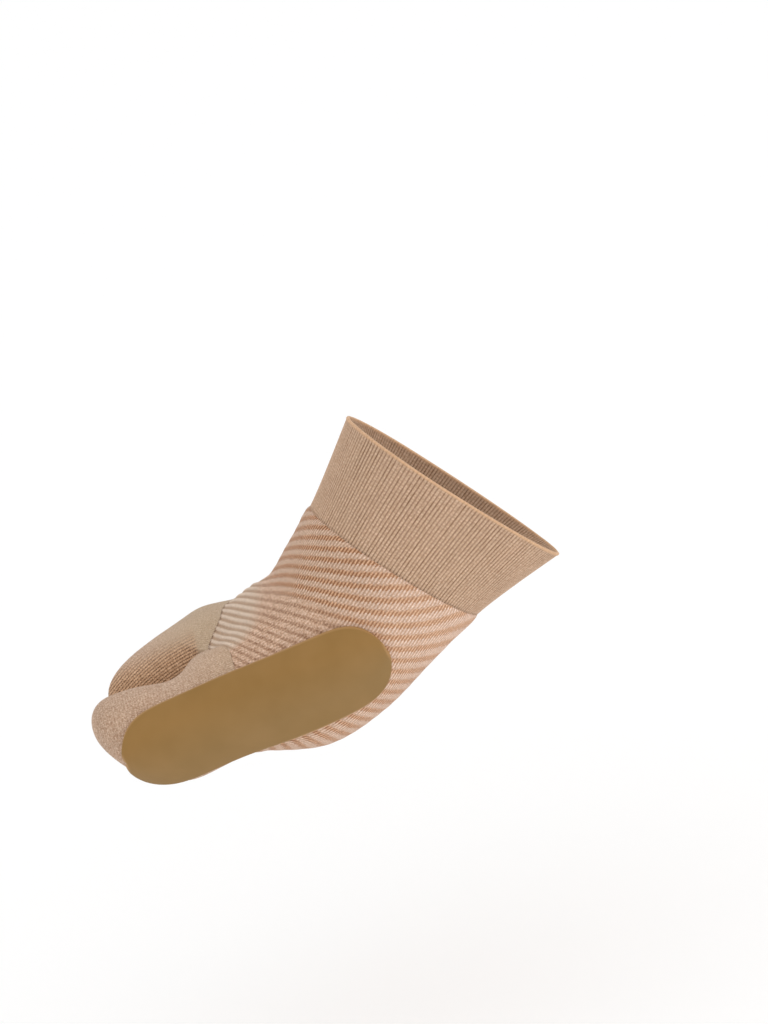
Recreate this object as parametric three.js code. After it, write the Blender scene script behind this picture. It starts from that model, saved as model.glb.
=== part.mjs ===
// Bunion corrector for a right foot: a knitted split-toe half sock with a smooth strip over the joint.
// Millimetres, +Z up. Toes point to -X, the heel to +X, the big-toe side to -Y, and the ball's sole is level.
// The origin is the centre of the cuff's opening. The tables are set out from the sole under the toe root.
import * as THREE from "three";

const Point = THREE.Vector3;
const { clamp, lerp, smoothstep, degToRad } = THREE.MathUtils;

// Sleeve and cuff
const sleeveRun = 126.5; // toe root to the heel corner of the rim, along the ground
const rimHeight = 109; // top of the rim over the sole
const ballWidth = 98; // across the toe joints
const cuffBand = 36.5; // width of the ribbed band
const cuffWall = 1.8;
const sleeveWall = 1.6;
const rimRoll = 0.5; // how far the rolled rim stands proud of the cuff
const rimRollBand = 1.6; // width of the rolled rim
const seamSwell = 0.9; // how far the sleeve swells out in front of the cuff
const seamSwellReach = 4; // from the linking seam to the fullest place of that swell
const seamGap = 0.4; // clearance between two pieces that are linked

// The web between the big toe and the second toe
const webSide = -8; // its place across the foot
const webReach = 8; // how far it stands forward of the toe root
const webSpread = 9; // half width of that forward bend
const valleyDepth = 6; // dent over the web, on top
const soleValleyDepth = 2; // dent under the web
const valleySpread = 8; // half width of both dents
const lateralSetback = 13; // how far the little toe's root lies behind the other roots
const setbackStart = 8; // where across the foot the roots begin to fall back

// Toe pockets
const toeWall = 2;
const toeGap = 1.2; // clearance between the two pockets in front of the web
const bigToeLength = 57;
const bigToeWidth = 37;
const bigToeHeight = 40;
const fourToeLength = 36; // along the pocket's middle
const fourToeWidth = 60;
const fourToeHeight = 33;
const fourToeSlant = 39; // degrees by which the row of toe tips slants back to the little toe
const fourToeFall = 5; // degrees by which it falls to the little toe

// Strip over the joint
const padLength = 103;
const padWidth = 31.5;
const padThickness = 2.4;
const padGap = 0.8; // clearance under the strip, over the flat facets of the knit
const padEdge = 0.9; // rounding of its edge
const padEndFullness = 2.2; // 2 for half-round ends
const padFrontRun = -47; // front end of its centre line, from the toe root
const padFrontHeight = 18; // and over the sole
const padRise = 8; // degrees by which the centre line climbs to the heel
const padCoreSide = -22; // place across the foot of the line that the strip is wrapped round
const padBowReach = 85; // degrees to which the skin is followed up and down from its middle

// Steps of the meshes
const medialSides = 20; // round the sleeve from the web's top over the big-toe side to its bottom
const lateralSides = 28; // and on over the other side
const webSides = 10; // down the web's wall
const cuffSteps = 8;
const sleeveSteps = 15;
const sleeveCrowding = 1.25; // over 1 the steps lie closer towards the linking seam
const toeBodySteps = 8; // from the root to the shoulder of a pocket
const toeTipSteps = 7; // from the shoulder to the tip
const padSteps = 26;
const padRows = 8;
const padBowSteps = 40;
const denseSides = 360;

// Sections of the sleeve from the toe root to the rim, joined by a smooth curve.
// top, bottom: where the section's ends lie along the foot, as shares of sleeveRun.
// rise, drop: how high these ends are, as shares of rimHeight.
// ridge, keel: where they lie across the foot; medial, lateral: half widths; as shares of ballWidth.
// belly: height of the widest place, as a share of the section's own height.
// crown, sole: fullness of the upper and lower half, 2 for an ellipse.
// turn: degrees by which the section's big-toe side is turned towards the heel.
// web: how much of the dents and the forward bend at the web the section has.
const sleeveRows = table(
  ["top", "rise", "bottom", "drop", "ridge", "keel", "medial", "lateral", "belly", "crown", "sole", "turn", "web"],
  [
    [0, 0.409, 0, -0.01, 0.02, 0.03, 0.48, 0.47, 0.44, 2.3, 2.5, 0, 1],
    [0.09, 0.458, 0.2, -0.056, 0, 0, 0.48, 0.48, 0.44, 2.2, 2.5, 1, 0.3],
    [0.161, 0.499, 0.387, -0.005, -0.03, 0, 0.455, 0.46, 0.45, 2.1, 2.4, 3, 0],
    [0.235, 0.596, 0.564, 0.1, -0.04, 0, 0.405, 0.42, 0.48, 2, 2.3, 6, 0],
    [0.35, 0.738, 0.738, 0.216, -0.05, -0.02, 0.37, 0.39, 0.54, 2, 2.2, 7, 0],
    [0.517, 1, 1, 0.336, -0.05, -0.05, 0.345, 0.37, 0.6, 2, 2.1, 8, 0],
  ],
);

// Sections of the toe pockets at even steps from root to tip.
// level: height of the section's middle over the sole, and height, as shares of the pocket's height.
// width: as a share of the pocket's width.
const bigToeRows = table(
  ["level", "width", "height"],
  [
    [0.495, 1, 1.05],
    [0.445, 1, 0.935],
    [0.455, 1, 0.915],
    [0.54, 1, 0.885],
    [0.69, 0.98, 0.84],
  ],
);
const fourToeRows = table(
  ["level", "width", "height"],
  [
    [0.69, 1, 1.25],
    [0.685, 1, 1.16],
    [0.68, 0.99, 1.03],
    [0.685, 0.97, 0.91],
    [0.71, 0.94, 0.88],
  ],
);

function table(names, rows) {
  return rows.map((row) => Object.fromEntries(names.map((name, i) => [name, row[i]])));
}

// Value of a named column at row position t, smooth from row to row
function column(rows, name, t) {
  const last = rows.length - 1;
  const row = clamp(Math.floor(t), 0, last - 1);
  const f = t - row;
  const at = (k) => rows[clamp(k, 0, last)][name];
  const before = at(row - 1);
  const start = at(row);
  const end = at(row + 1);
  const after = at(row + 2);
  const bend = 2 * before - 5 * start + 4 * end - after;
  const twist = 3 * start - before - 3 * end + after;
  return start + 0.5 * f * (end - before + f * (bend + f * twist));
}

// The cosine or sine of an angle bent to a fuller curve than a circle's
const fuller = (value, fullness) => Math.sign(value) * Math.abs(value) ** (2 / fullness);
const bell = (distance, spread) => Math.exp(-((distance / spread) ** 2));

// Points at even spacing along an open line, from its first point to short of its last
function evenArc(line, count) {
  const lengths = [0];
  for (let i = 1; i < line.length; i++) lengths.push(lengths[i - 1] + line[i].distanceTo(line[i - 1]));
  const arc = [];
  let k = 0;
  for (let i = 0; i < count; i++) {
    const place = (lengths.at(-1) * i) / count;
    while (lengths[k + 1] < place) k++;
    const f = (place - lengths[k]) / (lengths[k + 1] - lengths[k]);
    arc.push(line[k].clone().lerp(line[k + 1], f));
  }
  return arc;
}

// Dense section of the sleeve at row position t: from its top over the big-toe side and back
function sleeveLine(t) {
  const value = (name) => column(sleeveRows, name, t);
  const top = new Point(value("top") * sleeveRun, value("ridge") * ballWidth, value("rise") * rimHeight);
  const bottom = new Point(value("bottom") * sleeveRun, value("keel") * ballWidth, value("drop") * rimHeight);
  const height = top.clone().sub(bottom);
  const heelward = new Point(height.z, 0, -height.x).normalize();
  const belly = value("belly");
  const turn = Math.tan(degToRad(value("turn")));
  const web = value("web");
  const line = [];
  for (let i = 0; i < denseSides; i++) {
    const angle = (2 * Math.PI * i) / denseSides;
    const up = Math.cos(angle);
    const out = Math.sin(angle);
    const isUpper = up > 0;
    const fullness = value(isUpper ? "crown" : "sole");
    const share = belly + fuller(up, fullness) * (isUpper ? 1 - belly : belly);
    const offset = fuller(out, fullness) * value(out > 0 ? "medial" : "lateral") * ballWidth;
    const point = bottom.clone().lerp(top, share);
    point.y -= offset;
    point.addScaledVector(heelward, offset * turn);
    const side = point.y;
    const dent = (isUpper ? -valleyDepth : soleValleyDepth) * Math.abs(up);
    point.z += web * dent * bell(side - webSide, valleySpread);
    point.x -= web * webReach * bell(side - webSide, webSpread);
    point.x += web * lateralSetback * smoothstep(side, setbackStart, ballWidth / 2);
    line.push(point);
  }
  return line;
}

// The two arcs of a section, cut where it crosses the web's line on top and below
function arcsOf(line) {
  const crossing = (i) => {
    const [a, b] = [line[i], line[i + 1]];
    return a.clone().lerp(b, (webSide - a.y) / (b.y - a.y));
  };
  const above = line.findIndex((point, i) => point.y > webSide && line[i + 1].y <= webSide);
  const below = line.findIndex((point, i) => i > above && point.y <= webSide && line[i + 1].y > webSide);
  const [top, bottom] = [crossing(above), crossing(below)];
  return {
    medial: [top, ...line.slice(above + 1, below + 1), bottom],
    lateral: [bottom, ...line.slice(below + 1), ...line.slice(0, above + 1), top],
  };
}

function sleeveRing(t) {
  const { medial, lateral } = arcsOf(sleeveLine(t));
  return [...evenArc(medial, medialSides), ...evenArc(lateral, lateralSides)];
}

// Distance along the sleeve's middle from the toe root, at many row positions
const lastRow = sleeveRows.length - 1;
const sleeveMiddle = (t) => {
  const mean = (a, b) => (column(sleeveRows, a, t) + column(sleeveRows, b, t)) / 2;
  return new Point(mean("top", "bottom") * sleeveRun, 0, mean("rise", "drop") * rimHeight);
};
const sleeveTable = [{ t: 0, distance: 0 }];
for (let i = 1; i <= denseSides; i++) {
  const t = (lastRow * i) / denseSides;
  const previous = sleeveTable[i - 1];
  const step = sleeveMiddle(t).distanceTo(sleeveMiddle(previous.t));
  sleeveTable.push({ t, distance: previous.distance + step });
}
const sleeveLength = sleeveTable[denseSides].distance;

function sleeveRingAt(distance) {
  const after = clamp(sleeveTable.findIndex((entry) => entry.distance >= distance), 1, denseSides);
  const [a, b] = [sleeveTable[after - 1], sleeveTable[after]];
  return sleeveRing(lerp(a.t, b.t, (distance - a.distance) / (b.distance - a.distance)));
}

// Unit normals out of a tube of rings that run to +X (sense 1) or to -X (sense -1)
function outwardNormals(rings, sense) {
  return rings.map((ring, i) =>
    ring.map((_, j) => {
      const ahead = rings[Math.min(i + 1, rings.length - 1)][j];
      const behind = rings[Math.max(i - 1, 0)][j];
      const next = ring[(j + 1) % ring.length];
      const last = ring.at(j - 1);
      const round = next.clone().sub(last);
      return round.cross(ahead.clone().sub(behind)).multiplyScalar(sense).normalize();
    }),
  );
}

const pushedOut = (rings, normals, push) =>
  rings.map((ring, i) => ring.map((point, j) => point.clone().addScaledVector(normals[i][j], push(i))));

// Surface through rings of equally many points; a closed one joins the last ring to the first
function surfaceOf(rings, isClosed) {
  const sides = rings[0].length;
  const position = rings.flat().flatMap((point) => point.toArray());
  const index = [];
  const bands = isClosed ? rings.length : rings.length - 1;
  for (let i = 0; i < bands; i++) {
    const a = i * sides;
    const b = ((i + 1) % rings.length) * sides;
    for (let j = 0; j < sides; j++) {
      const k = (j + 1) % sides;
      index.push(a + j, b + k, b + j, a + j, a + k, b + k);
    }
  }
  return { position, index };
}

function geometryOf({ position, index }) {
  const geometry = new THREE.BufferGeometry();
  geometry.setAttribute("position", new THREE.Float32BufferAttribute(position, 3));
  geometry.setIndex(index);
  geometry.computeVertexNormals();
  return geometry;
}

// Tube with a wall, open at both ends
function openShell(outer, wall) {
  const inner = pushedOut(outer, outwardNormals(outer, 1), () => -wall);
  return geometryOf(surfaceOf([...outer, ...inner.reverse()], true));
}

// Tube with a wall, open at its root and closed at its tip
function pocketShell({ rings, normals, tip }, wall) {
  const inner = pushedOut(rings, normals, () => -wall);
  const body = surfaceOf([...rings.slice().reverse(), ...inner], false);
  const innerTip = tip.clone().add(new Point(wall, 0, 0));
  const outerTipIndex = body.position.length / 3;
  const innerTipIndex = outerTipIndex + 1;
  body.position.push(...tip.toArray(), ...innerTip.toArray());
  const sides = rings[0].length;
  const lastInner = (2 * rings.length - 1) * sides;
  for (let j = 0; j < sides; j++) {
    const k = (j + 1) % sides;
    body.index.push(outerTipIndex, k, j);
    body.index.push(innerTipIndex, lastInner + j, lastInner + k);
  }
  return geometryOf(body);
}

// Ribbed cuff: from the linking seam to the rim, which ends in a small roll
function cuffRings() {
  const seam = sleeveLength - cuffBand;
  const rollStart = sleeveLength - rimRollBand;
  const distances = [];
  for (let i = 0; i <= cuffSteps; i++) distances.push(lerp(seam, rollStart, i / cuffSteps));
  distances.push(sleeveLength - rimRollBand / 2, sleeveLength);
  const rings = distances.map(sleeveRingAt);
  const crest = rings.length - 2;
  return pushedOut(rings, outwardNormals(rings, 1), (i) => (i === crest ? rimRoll : 0));
}

// Striped sleeve: from the toe root to the linking seam, in front of which it swells out
function sleeveRings() {
  const seam = sleeveLength - cuffBand - seamGap;
  const distances = [];
  for (let i = 0; i <= sleeveSteps; i++) {
    distances.push(seam * (1 - (1 - i / sleeveSteps) ** sleeveCrowding));
  }
  const rings = distances.map(sleeveRingAt);
  return pushedOut(rings, outwardNormals(rings, 1), (i) => {
    const share = (seam - distances[i]) / seamSwellReach;
    return seamSwell * share * Math.exp(1 - share);
  });
}

const sleeve = sleeveRings();
const sleeveRootNormals = outwardNormals(sleeve, 1)[0];

// One side of the toe root's section, closed by the web's straight wall
function rootRing(isMedial) {
  const { medial, lateral } = arcsOf(sleeveLine(0));
  const arc = isMedial ? medial : lateral;
  const ring = evenArc(arc, isMedial ? medialSides : lateralSides);
  const edge = webSide + (isMedial ? -1 : 1) * (seamGap / 2);
  const start = ring[0].setY(edge);
  const end = arc.at(-1).clone().setY(edge);
  return [...ring, ...evenArc([end, start], webSides)];
}

// Places along a pocket as shares of its length: even to the shoulder, then ever closer up to the tip
function toePlaces(spec) {
  const start = seamGap / spec.length;
  const places = [];
  for (let i = 0; i < toeBodySteps; i++) places.push(lerp(start, spec.shoulder, i / toeBodySteps));
  for (let i = 0; i < toeTipSteps; i++) {
    const angle = (Math.PI / 2) * (i / toeTipSteps);
    places.push(lerp(spec.shoulder, 1, fuller(Math.sin(angle), spec.bluntness)));
  }
  return places;
}

// Toe pocket: starts as its side of the toe root and turns into a full oval, rounded off at the tip.
// shoulder: where the rounding starts; blendEnd: where the oval is whole; both as shares of the length.
// bluntness, fullness: of the tip and of the oval, 2 for round. startAngle: of the web's first corner.
// slant, fall: degrees by which the sections come to lean back and down to the outer side at the tip.
function toePocket(spec) {
  const root = rootRing(spec.isMedial);
  const centreAt = (along) => {
    const level = column(spec.rows, "level", along * (spec.rows.length - 1));
    return new Point(-along * spec.length, spec.side, level * spec.height);
  };
  const ringAt = (along) => {
    const value = (name) => column(spec.rows, name, along * (spec.rows.length - 1));
    const centre = centreAt(along);
    const past = clamp((along - spec.shoulder) / (1 - spec.shoulder), 0, 1);
    const rounding = (1 - past ** spec.bluntness) ** (1 / spec.bluntness);
    const slant = Math.tan(degToRad(spec.slant)) * along;
    const fall = Math.tan(degToRad(spec.fall)) * along;
    const oval = [];
    for (let i = 0; i <= denseSides; i++) {
      const angle = degToRad(spec.startAngle) + (2 * Math.PI * i) / denseSides;
      const out = (fuller(Math.cos(angle), spec.fullness) * value("width") * spec.width * rounding) / 2;
      const up = (fuller(Math.sin(angle), spec.fullness) * value("height") * spec.height * rounding) / 2;
      oval.push(new Point(out * slant, out, up - out * fall).add(centre));
    }
    const shape = evenArc(oval, root.length);
    const mix = smoothstep(along, 0, spec.blendEnd);
    return root.map((point, j) => point.clone().setX(point.x + centre.x).lerp(shape[j], mix));
  };
  const rings = toePlaces(spec).map(ringAt);
  const normals = outwardNormals(rings, -1);
  // At the seam the wall stands as the sleeve's does, apart from the web and its two corners
  const firstShared = spec.isMedial ? 0 : medialSides;
  for (let j = 1; j < root.length - webSides; j++) {
    normals[0][j] = sleeveRootNormals[(firstShared + j) % sleeveRootNormals.length];
  }
  return { rings, normals, tip: centreAt(1) };
}

const bigToe = toePocket({
  isMedial: true,
  rows: bigToeRows,
  length: bigToeLength,
  width: bigToeWidth,
  height: bigToeHeight,
  side: webSide - toeGap / 2 - bigToeWidth / 2,
  slant: 0,
  fall: 0,
  shoulder: 0.55,
  bluntness: 2.1,
  fullness: 2.2,
  startAngle: 50,
  blendEnd: 0.5,
});
const fourToes = toePocket({
  isMedial: false,
  rows: fourToeRows,
  length: fourToeLength,
  width: fourToeWidth,
  height: fourToeHeight,
  side: webSide + toeGap / 2 + fourToeWidth / 2,
  slant: fourToeSlant,
  fall: fourToeFall,
  shoulder: 0.5,
  bluntness: 3.3,
  fullness: 2.5,
  startAngle: -140,
  blendEnd: 0.6,
});

// The skin that the strip lies on: the outside of the big toe's pocket and of the sleeve
const skinMaterial = new THREE.MeshBasicMaterial({ side: THREE.DoubleSide });
const skins = [bigToe.rings, sleeve].map((rings) => new THREE.Mesh(geometryOf(surfaceOf(rings, false)), skinMaterial));

// Line over the skin across the strip at one place along it, as points with their lengths from its middle
function padBow(distance) {
  const rise = degToRad(padRise);
  const along = new Point(Math.cos(rise), 0, Math.sin(rise));
  const core = new Point(padFrontRun, padCoreSide, padFrontHeight).addScaledVector(along, distance);
  const bow = [];
  for (let i = -padBowSteps; i <= padBowSteps; i++) {
    const angle = (degToRad(padBowReach) * i) / padBowSteps;
    const upward = Math.sin(angle);
    const direction = new Point(-Math.sin(rise) * upward, -Math.cos(angle), Math.cos(rise) * upward);
    const [hit] = new THREE.Raycaster(core, direction).intersectObjects(skins);
    if (hit) bow.push({ angle, point: hit.point, length: 0 });
  }
  const middle = bow.findIndex((entry) => entry.angle >= 0);
  for (let i = middle + 1; i < bow.length; i++) {
    bow[i].length = bow[i - 1].length + bow[i].point.distanceTo(bow[i - 1].point);
  }
  for (let i = middle - 1; i >= 0; i--) {
    bow[i].length = bow[i + 1].length - bow[i].point.distanceTo(bow[i + 1].point);
  }
  return bow;
}

function pointOnBow(bow, length) {
  const after = clamp(bow.findIndex((entry) => entry.length >= length), 1, bow.length - 1);
  const [a, b] = [bow[after - 1], bow[after]];
  return a.point.clone().lerp(b.point, (length - a.length) / (b.length - a.length));
}

// Grid of points over the strip's outline, drawn in by inset and lifted off the skin
function padGrid(inset, lift) {
  const radius = padWidth / 2;
  const grid = [];
  for (let i = 0; i <= padSteps; i++) {
    const share = (1 - Math.cos((Math.PI * (i + 0.5)) / (padSteps + 1))) / 2;
    const distance = lerp(inset, padLength - inset, share);
    const past = Math.max(radius - distance, distance - (padLength - radius), 0) / (radius - inset);
    const half = (radius - inset) * (1 - past ** padEndFullness) ** (1 / padEndFullness);
    const bow = padBow(distance);
    const row = [];
    for (let j = 0; j <= padRows; j++) row.push(pointOnBow(bow, half * ((2 * j) / padRows - 1)));
    grid.push(row);
  }
  const at = (i, j) => grid[clamp(i, 0, padSteps)][clamp(j, 0, padRows)];
  return grid.map((row, i) =>
    row.map((point, j) => {
      const along = at(i + 1, j).clone().sub(at(i - 1, j));
      const across = at(i, j + 1).clone().sub(at(i, j - 1));
      return point.clone().addScaledVector(along.cross(across).normalize(), lift);
    }),
  );
}

// Smooth strip: its back, its edge up to the rounding, and its face drawn in by the rounding
function padGeometry() {
  const back = padGrid(0, padGap);
  const shoulder = padGrid(0, padGap + padThickness - padEdge);
  const face = padGrid(padEdge, padGap + padThickness);
  const columns = padRows + 1;
  const size = (padSteps + 1) * columns;
  const position = [back, shoulder, face].flat(2).flatMap((point) => point.toArray());
  const index = [];
  const quad = (a, b, c, d) => index.push(a, b, c, a, c, d);
  for (let i = 0; i < padSteps; i++) {
    for (let j = 0; j < padRows; j++) {
      const a = i * columns + j;
      quad(a, a + 1, a + columns + 1, a + columns);
      const f = 2 * size + a;
      quad(f, f + columns, f + columns + 1, f + 1);
    }
  }
  const border = [];
  for (let j = 0; j < padRows; j++) border.push(j);
  for (let i = 0; i < padSteps; i++) border.push(i * columns + padRows);
  for (let j = padRows; j > 0; j--) border.push(padSteps * columns + j);
  for (let i = padSteps; i > 0; i--) border.push(i * columns);
  border.forEach((a, k) => {
    const b = border[(k + 1) % border.length];
    quad(a, size + a, size + b, b);
    quad(size + a, 2 * size + a, 2 * size + b, size + b);
  });
  return geometryOf({ position, index });
}

const knit = (color) => new THREE.MeshStandardMaterial({ color, roughness: 0.92, metalness: 0 });
const ribbedKnit = knit(0xc4996f);
const stripedKnit = knit(0xd2a68a);
const plainKnit = knit(0xbd9778);
const softStrip = new THREE.MeshStandardMaterial({ color: 0x96764a, roughness: 0.6, metalness: 0 });

function piece(name, geometry, material) {
  const mesh = new THREE.Mesh(geometry, material);
  mesh.name = name;
  return mesh;
}

const sock = new THREE.Group();
sock.add(piece("ribbed_cuff", openShell(cuffRings(), cuffWall), ribbedKnit));
sock.add(piece("striped_sleeve", openShell(sleeve, sleeveWall), stripedKnit));
sock.add(piece("big_toe_pocket", pocketShell(bigToe, toeWall), plainKnit));
sock.add(piece("four_toe_pocket", pocketShell(fourToes, toeWall), plainKnit));
sock.add(piece("bunion_pad", padGeometry(), softStrip));

// The tables' origin lies under the toe root; the part's is the centre of the cuff's opening
const rim = sleeveRing(lastRow);
const rimCentre = rim.reduce((sum, point) => sum.add(point), new Point()).divideScalar(rim.length);
sock.position.copy(rimCentre).negate();
const corrector = new THREE.Group();
corrector.add(sock);

export default corrector;
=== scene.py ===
"""Bunion corrector for a right foot: knitted split-toe half sock with a soft strip over the big-toe joint.

Metres, +Z up. Toes point to -X, the heel to +X, the big-toe side to -Y. The origin is the centre of the
cuff's opening. The section tables are set out from the sole under the toe root, at TOE_ROOT.
"""
import math

import bpy
import numpy as np
from mathutils import Matrix, Vector
from mathutils.bvhtree import BVHTree


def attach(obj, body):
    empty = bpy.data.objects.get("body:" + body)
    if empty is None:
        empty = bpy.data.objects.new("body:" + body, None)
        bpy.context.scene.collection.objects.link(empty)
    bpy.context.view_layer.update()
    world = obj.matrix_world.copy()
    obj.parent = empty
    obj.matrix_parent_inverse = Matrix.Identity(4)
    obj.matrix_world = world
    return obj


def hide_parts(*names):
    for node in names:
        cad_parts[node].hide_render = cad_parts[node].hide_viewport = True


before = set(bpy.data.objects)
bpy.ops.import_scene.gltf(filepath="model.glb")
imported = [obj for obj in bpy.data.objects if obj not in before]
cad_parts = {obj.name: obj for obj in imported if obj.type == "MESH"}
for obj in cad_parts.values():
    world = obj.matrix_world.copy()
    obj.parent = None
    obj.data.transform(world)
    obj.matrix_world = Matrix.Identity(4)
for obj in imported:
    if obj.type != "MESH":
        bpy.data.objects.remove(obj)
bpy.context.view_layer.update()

# Sleeve and cuff
TOE_ROOT = np.array((-0.09499, 0.0014, -0.07319))
SLEEVE_RUN = 0.1265  # toe root to the heel corner of the rim, along the ground
RIM_HEIGHT = 0.109  # top of the rim over the sole
BALL_WIDTH = 0.098  # across the toe joints
CUFF_BAND = 0.0365  # width of the ribbed band
CUFF_WALL = 0.0018
SLEEVE_WALL = 0.0016
RIM_ROLL = 0.0002  # how far the rolled rim stands proud of the ribs
RIM_ROLL_BAND = 0.001  # width of the rolled rim
LIP_WALL = 0.0009  # wall at the rim, where the knit thins out
LIP_REACH = 0.004
SEAM_SWELL = 0.0009  # how far the sleeve swells out in front of the cuff
SEAM_SWELL_REACH = 0.004
SEAM_GAP = 0.00015  # between two pieces that are linked

# The web between the big toe and the second toe
WEB_SIDE = -0.008
WEB_REACH = 0.008
WEB_SPREAD = 0.009
VALLEY_DEPTH = 0.006
SOLE_VALLEY_DEPTH = 0.002
VALLEY_SPREAD = 0.008
LATERAL_SETBACK = 0.013  # how far the little toe's root lies behind the other roots
SETBACK_START = 0.008  # where across the foot the roots begin to fall back

# Toe pockets
TOE_WALL = 0.002
TOE_GAP = 0.0012
SEAM_RIDGE = 0.0004  # height of the ridge that the linking stitches raise round the toe root
SEAM_RIDGE_WIDTH = 0.0012

# Knit
RIBS = 190  # round the cuff, 1.35 mm apart
RIB_DEPTH = 0.0004
WALES = 200  # columns of stitches round the sleeve, about 1.3 mm apart
TOE_WALES = 240  # round both pockets together, about 1 mm apart
COURSE = 0.0011  # from one row of stitches to the next

# Stripes: the stripe number is a sum of powers of the place's x, y and z, from STRIPE_CENTRE in STRIPE_UNIT.
# Whole numbers lie in the middle of the darker stripes. The shares are a least-squares fit, made by another
# script, to the stripes' measured directions and spacing on the big-toe side. They carry the stripes on round
# the other sides.
STRIPE_CENTRE = np.array((0.045, 0, 0.035))
STRIPE_UNIT = 0.05
STRIPE_POWERS = {
    (0, 0, 0): 5.41, (0, 0, 1): -10.55, (0, 0, 2): 2.52, (0, 0, 3): -1.16,
    (0, 1, 0): -5.64, (0, 1, 1): -0.27, (0, 1, 2): 0.86, (0, 2, 0): 0.45, (0, 2, 1): 0.57,
    (0, 3, 0): -0.01, (1, 0, 0): -5.31, (1, 0, 1): -1.8, (1, 0, 2): 1.08, (1, 1, 0): 0.85,
    (1, 1, 1): 0.01, (1, 2, 0): -0.24, (2, 0, 0): 4.47, (2, 1, 0): -0.95, (3, 0, 0): -0.12,
}
RELIEF_BROAD = 0.00005  # half the height that the broad stripes stand up by
RELIEF_NARROW = 0.0001
RELIEF_SMOOTH = 0.0002
LINKING = 0.0012  # width of the linking stitches at the toe root
# The four-toe pocket's wall towards the big toe lies in the crevice by the big-toe pocket. It is stretched
# open into dark lines and darkened with painted shade, from the start value below to its tip and from the
# sole up to the top value, which falls by the fall value a metre to the tip. The lines run along the toes and
# are crossed by short threads.
SHADED_STRETCH_START = -0.011
SHADED_STRETCH_TOP = 0.04516
SHADED_STRETCH_FALL = 0.16
SHADED_STRETCH_SIDE = 0.014  # how far it goes across the toes
# Directions across and along the lines
LADDER_ACROSS = np.array((-0.2756, 0.3288, 0.9033))
LADDER_ALONG = np.array((0.961, 0.0943, 0.259))
LADDER_BEND = 8  # how fast the lines turn down towards the tip
LADDER = 0.0011  # from one line to the next
RUNG = 0.0008  # from one crossing thread to the next

# Where the smooth ridges by the toes end and where the narrow stripes end, as shares of the way from the
# toe root to the cuff. Places round the sleeve: 0 the web on top, 1 the sole, below 0 the outer side. Another
# script worked out these places from points picked by eye.
SMOOTH_ROUND = (-1, -0.75, -0.6, -0.02, 0.1, 0.163, 0.2)
SMOOTH_END = (-0.1, -0.1, 0.37, 0.37, 0.262, 0.125, -0.1)
NARROW_ROUND = (-1, -0.7, -0.04, 0.138, 0.25, 0.312, 0.375, 0.5, 0.6)
NARROW_END = (-0.1, 0.45, 0.468, 0.564, 0.619, 0.646, 0.659, 0.5, -0.1)
SMOOTH_FADE = (-0.06, 0.11)  # how softly they end, in the same shares
NARROW_FADE = (-0.05, 0.05)

# Strip over the joint
PAD_LENGTH = 0.103
PAD_WIDTH = 0.0315
PAD_BACK = 0.0003  # clearance under the strip
PAD_TOP = 0.0032  # its face over the skin
PAD_EDGE = 0.0011  # rounding of its edge
PAD_END_FULLNESS = 2.2
PAD_EASING = 60  # rounds of smoothing that carry the strip over the skin's seams
PAD_FRONT = np.array((-0.047, -0.022, 0.018))  # front end of the line that it is wrapped round
PAD_RISE = 8  # degrees by which that line climbs to the heel

# Sections of the sleeve from the toe root to the rim, one value a section, joined by a smooth curve. top and
# bottom are shares of SLEEVE_RUN, rise and drop (their heights) of RIM_HEIGHT, and ridge and keel (how far
# they lie to the outer side), medial and lateral (the half widths) of BALL_WIDTH. belly is the height of the
# widest place as a share of the section's, crown and sole are the fullness above and below it, turn is how
# many degrees the section turns its big-toe side heelwards, and web is how much of the web it has.
SLEEVE_SECTIONS = {
    "top": (0, 0.09, 0.161, 0.235, 0.35, 0.517),
    "rise": (0.409, 0.458, 0.499, 0.596, 0.738, 1),
    "bottom": (0, 0.2, 0.387, 0.564, 0.738, 1),
    "drop": (-0.01, -0.056, -0.005, 0.1, 0.216, 0.336),
    "ridge": (0.02, 0, -0.03, -0.04, -0.05, -0.05),
    "keel": (0.03, 0, 0, 0, -0.02, -0.05),
    "medial": (0.48, 0.48, 0.455, 0.405, 0.37, 0.345),
    "lateral": (0.47, 0.48, 0.46, 0.42, 0.39, 0.37),
    "belly": (0.44, 0.44, 0.45, 0.48, 0.54, 0.6),
    "crown": (2.3, 2.2, 2.1, 2, 2, 2),
    "sole": (2.5, 2.5, 2.4, 2.3, 2.2, 2.1),
    "turn": (0, 1, 3, 6, 7, 8),
    "web": (1, 0.3, 0, 0, 0, 0),
}
# Toe pockets: an oval of width and height round the middle line at side, which is slanted back and falls away
# to the outer side by slant and fall degrees. It rounds off from the shoulder with a bluntness. Points are
# counted from the start angle, and the root's shape turns into the oval over the share blend. levels, widths
# and heights are shares of height, width and height, one a section from root to tip.
BIG_TOE_WIDTH = 0.037
FOUR_TOE_WIDTH = 0.06
BIG_TOE = {
    "length": 0.057, "width": BIG_TOE_WIDTH, "height": 0.04, "side": WEB_SIDE - (TOE_GAP + BIG_TOE_WIDTH) / 2,
    "slant": 0, "fall": 0, "shoulder": 0.55, "bluntness": 2.1, "fullness": 2.2, "start": 50, "blend": 0.5,
    "levels": (0.495, 0.445, 0.455, 0.54, 0.69), "widths": (1, 1, 1, 1, 0.98),
    "heights": (1.05, 0.935, 0.915, 0.885, 0.84),
}
FOUR_TOES = {
    "length": 0.036, "width": FOUR_TOE_WIDTH, "height": 0.033,
    "side": WEB_SIDE + (TOE_GAP + FOUR_TOE_WIDTH) / 2,
    "slant": 39, "fall": 5, "shoulder": 0.5, "bluntness": 3.3, "fullness": 2.5, "start": -140, "blend": 0.6,
    "levels": (0.69, 0.685, 0.68, 0.685, 0.71), "widths": (1, 1, 0.99, 0.97, 0.94),
    "heights": (1.25, 1.16, 1.03, 0.91, 0.88),
}

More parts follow.
